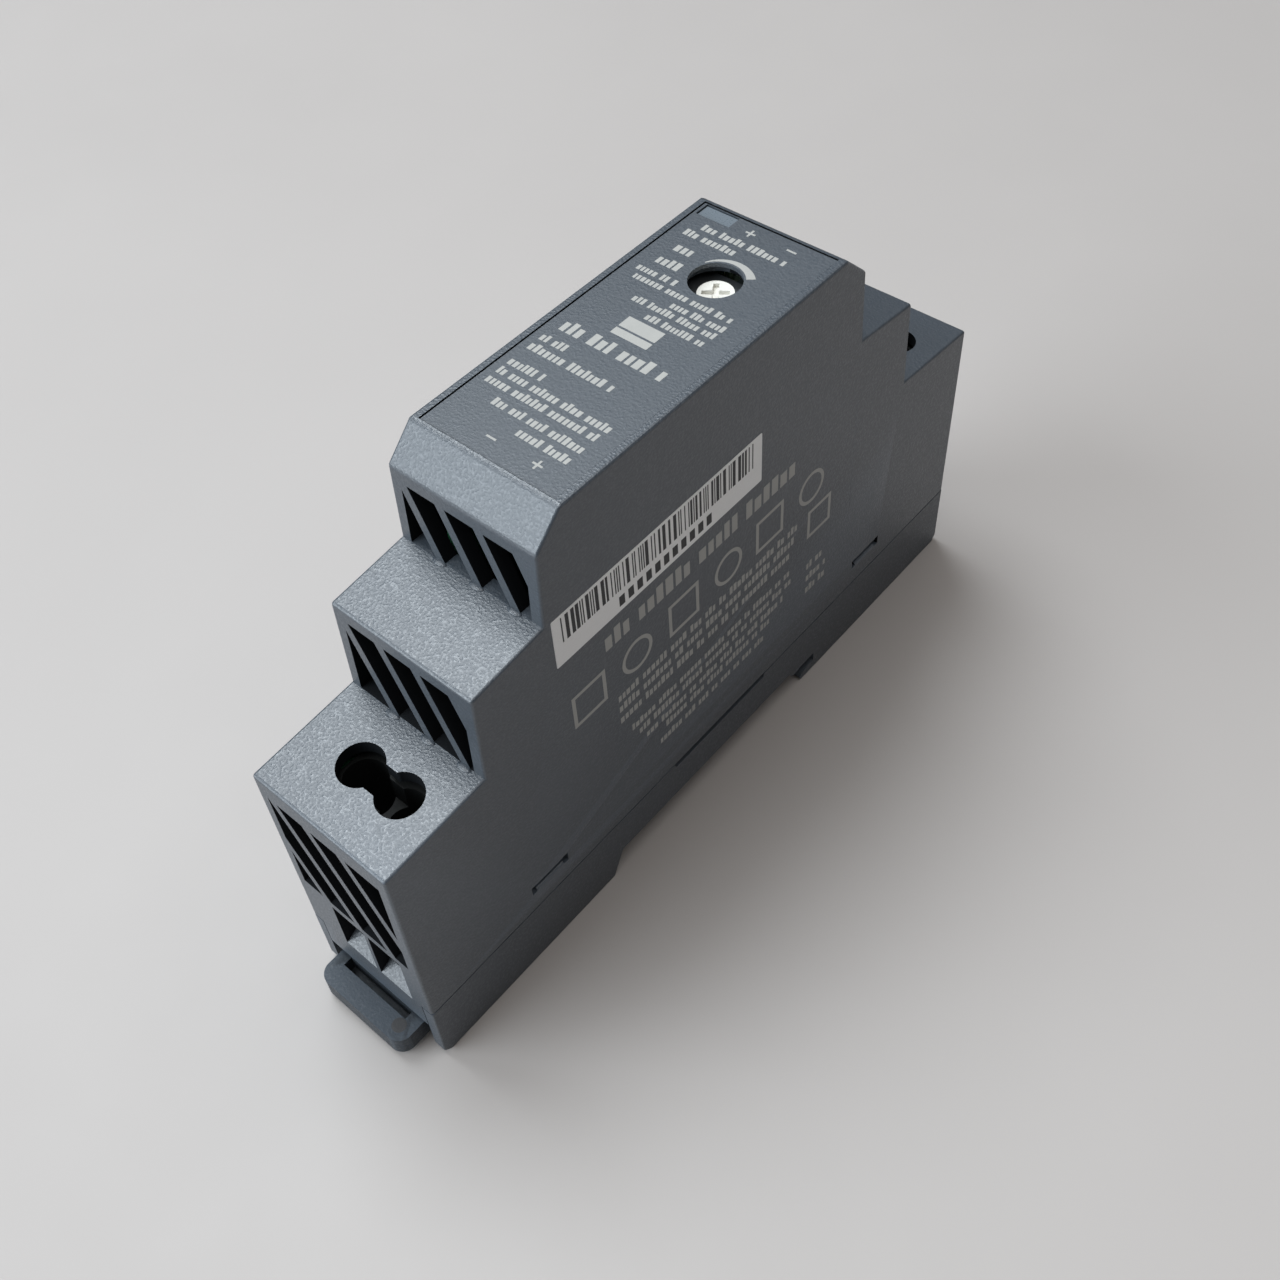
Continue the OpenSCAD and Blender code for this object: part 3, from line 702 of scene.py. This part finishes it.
def clamp_screw(node):
    """A fillister head with a cross slot over a cut thread."""
    low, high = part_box(node)
    x, y = (low.x + high.x) / 2, (low.y + high.y) / 2
    head, bottom = 1.9, low.z / MM
    top, head_low = high.z / MM, 17.5
    place = Matrix.Translation((x, y, 0))
    bm = bmesh.new()
    lathe(bm, [(0, head_low - 0.3), (1.0, head_low - 0.3), (1.25, head_low), (head - 0.12, head_low),
               (head, head_low + 0.12), (head, top - 0.45), (head - 0.12, top - 0.2),
               (head - 0.4, top - 0.05), (head - 0.9, top), (0, top)], place, 48)
    tool = bmesh.new()
    for size in ((1.5, 0.31), (0.31, 1.2)):
        add_box(tool, (x - size[0] * MM, y - size[1] * MM, (top - 1.05) * MM),
                (x + size[0] * MM, y + size[1] * MM, (top + 0.5) * MM))
    bm = carved(bm, tool)
    pitch, crest, depth, around, rows_per_turn = 0.45, 1.23, 0.2, 32, 6
    height = head_low - 0.28 - bottom
    count = int(height / pitch * rows_per_turn)
    rings = []
    for i in range(count + 1):
        z = bottom + height * i / count
        ring = []
        for k in range(around):
            phase = (z / pitch - k / around) % 1
            ridge = 1 - abs(2 * phase - 1)
            fade = min(1, (z - bottom) / 0.3 + 0.25)
            radius = (crest - depth * (1 - ridge)) * (0.8 + 0.2 * fade)
            angle = 2 * math.pi * k / around
            spot = Vector((radius * math.cos(angle) * MM, radius * math.sin(angle) * MM, z * MM))
            ring.append(bm.verts.new(place @ spot))
        rings.append(ring)
    for a, b in zip(rings, rings[1:]):
        for k in range(around):
            bm.faces.new((a[k], a[(k + 1) % around], b[(k + 1) % around], b[k]))
    for ring in (rings[0], rings[-1]):
        bm.faces.new(ring)
    stand_in(node.replace("screw", "clamp_screw"), bm, node)


def can_profile(radius, tall):
    """Rubber end, rolled groove, shoulder and a slightly sunk top."""
    return [(0, 0), (radius - 0.5, 0), (radius - 0.12, 0.08), (radius, 0.25), (radius, 1.0),
            (radius - 0.1, 1.15), (radius - 0.38, 1.3), (radius - 0.38, 1.45), (radius - 0.1, 1.6),
            (radius, 1.75), (radius, tall - 0.4), (radius - 0.08, tall - 0.16), (radius - 0.3, tall),
            (radius - 0.7, tall), (radius - 0.8, tall - 0.12), (0, tall - 0.12)]


def capacitors(node, name, top_look):
    """Round capacitors with a scored top, lead wires and a broken polarity stripe."""
    cans, tops, leads, bands = bmesh.new(), bmesh.new(), bmesh.new(), bmesh.new()
    for low, high in solids_of(node):
        y, z = (low.y + high.y) / 2, (low.z + high.z) / 2
        radius = (high.y - low.y) / 2 / MM
        base = BOARD_FACE + 0.1 * MM
        tall = (high.x - base) / MM
        place = along_x(y, z, base)
        lathe(cans, can_profile(radius, tall), place, 48)
        lathe(tops, [(0, tall - 0.1), (radius - 0.85, tall - 0.1),
                     (radius - 0.85, tall - 0.04), (0, tall - 0.04)], place, 36)
        for angle in (0, 60, 120):
            turn = place @ Matrix.Rotation(math.radians(angle), 4, "Z")
            part = bmesh.new()
            add_box(part, (-radius * 0.62 * MM, -0.07 * MM, (tall - 0.06) * MM),
                    (radius * 0.62 * MM, 0.07 * MM, (tall - 0.015) * MM))
            bmesh.ops.transform(part, matrix=turn, verts=part.verts)
            join(tops, part)
        for offset in (-1.75, 1.75):
            lead(leads, y, z + offset * MM, low.x)
        band_turn = place @ Matrix.Rotation(math.radians(-91), 4, "Z")
        for t in (0.16, 0.40, 0.64):
            part = bmesh.new()
            add_box(part, ((radius - 0.02) * MM, -0.5 * MM, (t * tall) * MM),
                    ((radius + 0.012) * MM, 0.5 * MM, (t * tall + 1.4) * MM))
            bmesh.ops.transform(part, matrix=band_turn, verts=part.verts)
            join(bands, part)
    stand_in(name, cans, node, plain_flats=True)
    stand_in(name + "_tops", tops, node, top_look)
    stand_in(name + "_leads", leads, node, "pins")
    stand_in(name + "_bands", bands, node, "print")


def join(bm, part):
    """Moves part's faces into bm."""
    mesh = bpy.data.meshes.new("part")
    part.to_mesh(mesh)
    part.free()
    bm.from_mesh(mesh)
    bpy.data.meshes.remove(mesh)


def lead(bm, y, z, tip):
    """A lead through the board with its solder fillet on the back."""
    length = (BOARD_FACE + 0.4 * MM - tip) / MM
    through = (BOARD_BACK - tip) / MM
    lathe(bm, [(0, 0), (0.26, 0.02), (0.3, 0.1), (0.32, through - 0.6), (0.42, through - 0.35),
               (0.85, through - 0.01), (0.85, through), (0.3, through), (0.3, length), (0, length)],
          along_x(y, z, tip), 16)


def input_choke():
    low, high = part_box("input_choke_core")
    y, z = (low.y + high.y) / 2, (low.z + high.z) / 2
    place = along_x(y, z, BOARD_FACE + 0.2 * MM)
    bm = bmesh.new()
    lathe(bm, [(0, 0), (3.7, 0), (4, 0.25), (4, 0.95), (3.8, 1.2), (1.7, 1.3), (1.7, 7.1), (3.8, 7.2),
               (4, 7.45), (4, 8.15), (3.7, 8.4), (0.5, 8.4), (0.35, 8.1), (0, 8.1)], place, 48)
    stand_in("choke_core", bm, "input_choke_core")
    wires = bmesh.new()
    for offset in (-2.5, 2.5):
        lead(wires, y + offset * MM, z, low.x)
    stand_in("choke_leads", wires, "input_choke_core", "pins")
    low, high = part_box("input_choke_winding")
    wire, steps = 0.24 * MM, 32
    copper = bmesh.new()
    for radius in (2.2, 2.7, 3.2):
        start, end = low.x + wire, high.x - wire
        turns = int((end - start) / (2.04 * wire))
        points = []
        for i in range(turns * steps + 1):
            angle = 2 * math.pi * i / steps
            points.append(Vector((start + (end - start) * i / (turns * steps),
                                  y + radius * MM * math.cos(angle), z + radius * MM * math.sin(angle))))
        sweep(copper, points, wire, lambda p: Vector((p.x, y, z)), 8)
    stand_in("choke_winding", copper, "input_choke_winding", sharp_deg=60)


def gull_package(node, legs, name):
    """A moulded package with bent legs along both edges and a pin-one dimple."""
    low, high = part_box(node)
    body = bmesh.new()
    b_low = Vector((low.x + 0.12 * MM, low.y, low.z + 1.0 * MM))
    b_high = Vector((high.x, high.y, high.z - 1.0 * MM))
    block_piece(body, b_low, b_high, 0.14)
    dimple = bmesh.new()
    spot = along_x(b_low.y + 0.6 * MM, b_high.z - 0.55 * MM, b_high.x)
    lathe(dimple, [(0, -0.1), (0.24, -0.1), (0.24, 0.2), (0, 0.2)], spot, 20)
    stand_in(name + "_body", carved(body, dimple), node)
    feet = bmesh.new()
    middle, leg_pitch = (low.y + high.y) / 2, 1.27
    for k in range(legs):
        y = middle + (k - (legs - 1) / 2) * leg_pitch * MM
        for side in (1, -1):
            edge = b_high.z if side > 0 else b_low.z
            path = [(0.80, -0.1), (0.80, 0.22), (0.74, 0.32), (0.2, 0.42), (0.1, 0.5), (0.1, 0.98)]
            rows = []
            for i, (up, out) in enumerate(path):
                before, after = path[max(i - 1, 0)], path[min(i + 1, len(path) - 1)]
                run = Vector((after[0] - before[0], after[1] - before[1])).normalized() * 0.07
                spots = [(up - run.y, out + run.x), (up + run.y, out - run.x)]
                rows.append([feet.verts.new((low.x + u * MM, y + w * MM, edge + side * o * MM))
                             for u, o in spots for w in (-0.2, 0.2)])
            for a, b in zip(rows, rows[1:]):
                for p, q in ((0, 1), (1, 3), (3, 2), (2, 0)):
                    feet.faces.new((a[p], a[q], b[q], b[p]))
            for row in (rows[0], rows[-1]):
                feet.faces.new((row[0], row[1], row[3], row[2]))
    stand_in(name + "_legs", feet, node, "pins")


def power_package(node, name):
    """A flat power package: moulded body, metal tab below and three legs."""
    low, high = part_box(node)
    y, z = (low.y + high.y) / 2, low.z + 5.4 * MM
    body = bmesh.new()
    block_piece(body, (low.x + 0.3 * MM, y - 3.3 * MM, z - 3 * MM),
                (high.x, y + 3.3 * MM, z + 3 * MM), 0.28, 3)
    notch = bmesh.new()
    lathe(notch, [(0, -0.1), (0.6, -0.1), (0.6, 0.3), (0, 0.3)],
          along_x(y - 2.2 * MM, z + 1.9 * MM, high.x), 24)
    stand_in(name + "_body", carved(body, notch), node)
    metal = bmesh.new()
    block_piece(metal, (low.x, y - 2.6 * MM, z - 1.5 * MM),
                (low.x + 0.4 * MM, y + 2.6 * MM, z + 4.4 * MM), 0.1)
    for offset in (-2.3, 2.3):
        block_piece(metal, (low.x, y + (offset - 0.4) * MM, z - 5.4 * MM),
                    (low.x + 0.5 * MM, y + (offset + 0.4) * MM, z - 2.9 * MM), 0.1)
    block_piece(metal, (low.x + 0.9 * MM, y - 0.4 * MM, z - 3.7 * MM),
                (low.x + 1.4 * MM, y + 0.4 * MM, z - 2.9 * MM), 0.1)
    stand_in(name + "_tab", metal, node, "pins")


def capped_chips(node, name, cap_mm, radius_mm=0.1):
    """Chip parts: a body between two plated ends, along the longer side on the board."""
    body, ends = bmesh.new(), bmesh.new()
    for low, high in solids_of(node):
        size = high - low
        axis = 1 if size.y > size.z else 2
        cut_low, cut_high = low.copy(), high.copy()
        cut_low[axis] += cap_mm * MM * 0.9
        cut_high[axis] -= cap_mm * MM * 0.9
        inset = Vector((0.04, 0.04, 0.04)) * MM
        inset[axis] = 0
        block_piece(body, cut_low + Vector((0, inset.y, inset.z)), cut_high - inset, radius_mm * 0.5)
        for at_start in (True, False):
            e_low, e_high = low.copy(), high.copy()
            if at_start:
                e_high[axis] = low[axis] + cap_mm * MM
            else:
                e_low[axis] = high[axis] - cap_mm * MM
            block_piece(ends, e_low, e_high, radius_mm)
    stand_in(name + "_bodies", body, node)
    stand_in(name + "_ends", ends, node, "pins")


def solder_side():
    """Solder fillets round the transformer, trimmer and terminal pins."""
    bm = bmesh.new()
    spots = [((low.y + high.y) / 2, (low.z + high.z) / 2, 0.8)
             for low, high in solids_of("transformer_pins")]
    trimmer_low, trimmer_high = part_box("trimmer_body")
    middle = (trimmer_low.y + trimmer_high.y) / 2
    trimmer_pin_gap, trimmer_pin_z = 2.3, 51.4
    spots += [(middle + k * trimmer_pin_gap * MM, trimmer_pin_z * MM, 0.75) for k in (-1, 0, 1)]
    for node in ("input_contacts", "output_contacts"):
        low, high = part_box(node)
        y = (high.y - 0.4 * MM) if node.startswith("input") else (low.y + 0.4 * MM)
        spots += [(y, low.z + 0.4 * MM, 1.1), (y, high.z - 0.4 * MM, 1.1)]
    for y, z, radius in spots:
        place = along_x(y, z, BOARD_BACK) @ Matrix.Rotation(math.pi, 4, "X")
        lathe(bm, [(0, -0.01), (radius, -0.01), (radius, 0.02), (radius * 0.7, 0.16), (radius * 0.48, 0.42),
                   (radius * 0.4, 0.62), (0, 0.66)], place, 20)
    add_piece("solder_joints", bm, "case", "pins", "pins")


def board_tracks():
    """Raised copper tracks under the resist, on both faces of the board."""
    rng = random.Random(5)
    low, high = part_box("circuit_board")
    bm = bmesh.new()
    for face, sign in ((low.x, -1), (high.x, 1)):
        def place(u, v, w):
            return Vector((face + sign * w * MM, u * MM, v * MM))
        for _ in range(26):
            u = rng.uniform(-27, 27)
            v = rng.uniform(6, 38 if abs(u) > 19 else 49)
            width, reach = rng.choice((0.4, 0.7, 1.6)), rng.uniform(3, 9)
            if abs(u) + reach > 29:
                continue
            rect_prism(bm, place, u, u + reach, v, v + width, -0.01, 0.03)
            rect_prism(bm, place, u + reach - width, u + reach, v - rng.uniform(1, 4), v, -0.01, 0.03)
    add_piece("board_tracks", bm, "case", "board", "board")


for screw in [n for n in frame["nodes"] if "_screw_" in n]:
    clamp_screw(screw)
for cage in [n for n in frame["nodes"] if "_cage_" in n]:
    soften(cage, [(0.14, fine)])
latch_spring()
capacitors("input_capacitors", "input_cans", "can")
capacitors("output_capacitors", "output_cans", "mould")
input_choke()
for node, radius in (("transformer_windings", 0.7), ("transformer_core", 0.25),
                     ("transformer_bobbin", 0.2), ("input_terminal_body", 0.25),
                     ("output_terminal_body", 0.25), ("input_contacts", 0.1), ("output_contacts", 0.1),
                     ("output_choke", 0.35), ("bridge_capacitor", 0.7), ("trimmer_body", 0.2),
                     ("trimmer_rotor", 0.1), ("status_led", 0.25), ("status_lens", 0.08)):
    soften(node, [(radius, fine)])
gull_package("controller_chip", 4, "controller")
gull_package("optocoupler", 2, "optocoupler")
gull_package("feedback_chip", 2, "feedback")
power_package("switching_transistor", "transistor")
power_package("output_rectifier", "rectifier")
capped_chips("sense_resistors", "resistor", 0.5)
capped_chips("ceramic_capacitors", "chip_capacitor", 0.55)
capped_chips("input_fuse", "fuse", 1.3, 0.3)
solder_side()
board_tracks()


# ---------------------------------------------------------------- the rest of the CAD nodes

for node, obj in frame["nodes"].items():
    obj.data.materials.clear()
    obj.data.materials.append(MATERIALS[SLOT_OF[node]])


# ---------------------------------------------------------------- floor, light and camera

def add_floor():
    bm = bmesh.new()
    bmesh.ops.create_grid(bm, x_segments=2, y_segments=2, size=1.2)
    mesh = bpy.data.meshes.new("floor")
    bm.to_mesh(mesh)
    bm.free()
    floor = bpy.data.objects.new("floor", mesh)
    floor.location.z = cad_box[0].z
    s = Surface("pale_floor")
    s.colour(s.blend(s.noise(60, 3), (0.410, 0.385, 0.372), (0.438, 0.412, 0.398)))
    s.rough(s.remap(s.noise(12, 2), 0, 1, 0.5, 0.6))
    mesh.materials.append(s.material)
    scene.collection.objects.link(floor)


def add_area_light(name, direction, distance, size, power, colour):
    light = bpy.data.lights.new(name, "AREA")
    light.shape = "DISK"
    light.size = size
    light.energy = power
    light.color = colour
    obj = bpy.data.objects.new(name, light)
    towards = Vector(direction).normalized()
    obj.location = Vector((0, 0, 0.025)) + towards * distance
    obj.rotation_euler = towards.to_track_quat("Z", "Y").to_euler()
    scene.collection.objects.link(obj)


def add_lights():
    add_area_light("key", (-4.6, 0.9, 9.5), 0.9, 0.55, 5.9, (0.88, 0.95, 1.0))
    add_area_light("window", (-4.2, -8.0, 4.6), 1.0, 0.9, 11.0, (0.86, 0.94, 1.0))
    add_area_light("ceiling", (0.6, 0.4, 10), 1.2, 1.7, 8.5, (1.0, 0.98, 0.96))
    world = bpy.data.worlds.new("studio")
    world.use_nodes = True
    sky = world.node_tree.nodes["Background"]
    sky.inputs["Color"].default_value = (1.0, 0.97, 0.94, 1)
    sky.inputs["Strength"].default_value = 0.1
    scene.world = world


CAMERA_PLACE = (68.18, -73.226, 139.055)  # mm
CAMERA_RIGHT, CAMERA_UP = (0.75535, 0.65265, -0.05916), (-0.45863, 0.59096, 0.66365)


def add_camera():
    data = bpy.data.cameras.new("camera")
    data.sensor_width = 36
    data.lens = 40.66
    data.shift_x = 0.0120
    data.shift_y = -0.0613
    data.clip_start = 0.005
    data.dof.use_dof = False
    camera = bpy.data.objects.new("camera", data)
    right = Vector(CAMERA_RIGHT)
    up = Vector(CAMERA_UP)
    back = right.cross(up)
    turn = Matrix((right, up, back)).transposed().to_4x4()
    camera.matrix_world = Matrix.Translation(Vector(CAMERA_PLACE) * MM) @ turn
    scene.collection.objects.link(camera)
    scene.camera = camera


add_floor()
add_lights()
add_camera()
scene.view_settings.view_transform = "Standard"
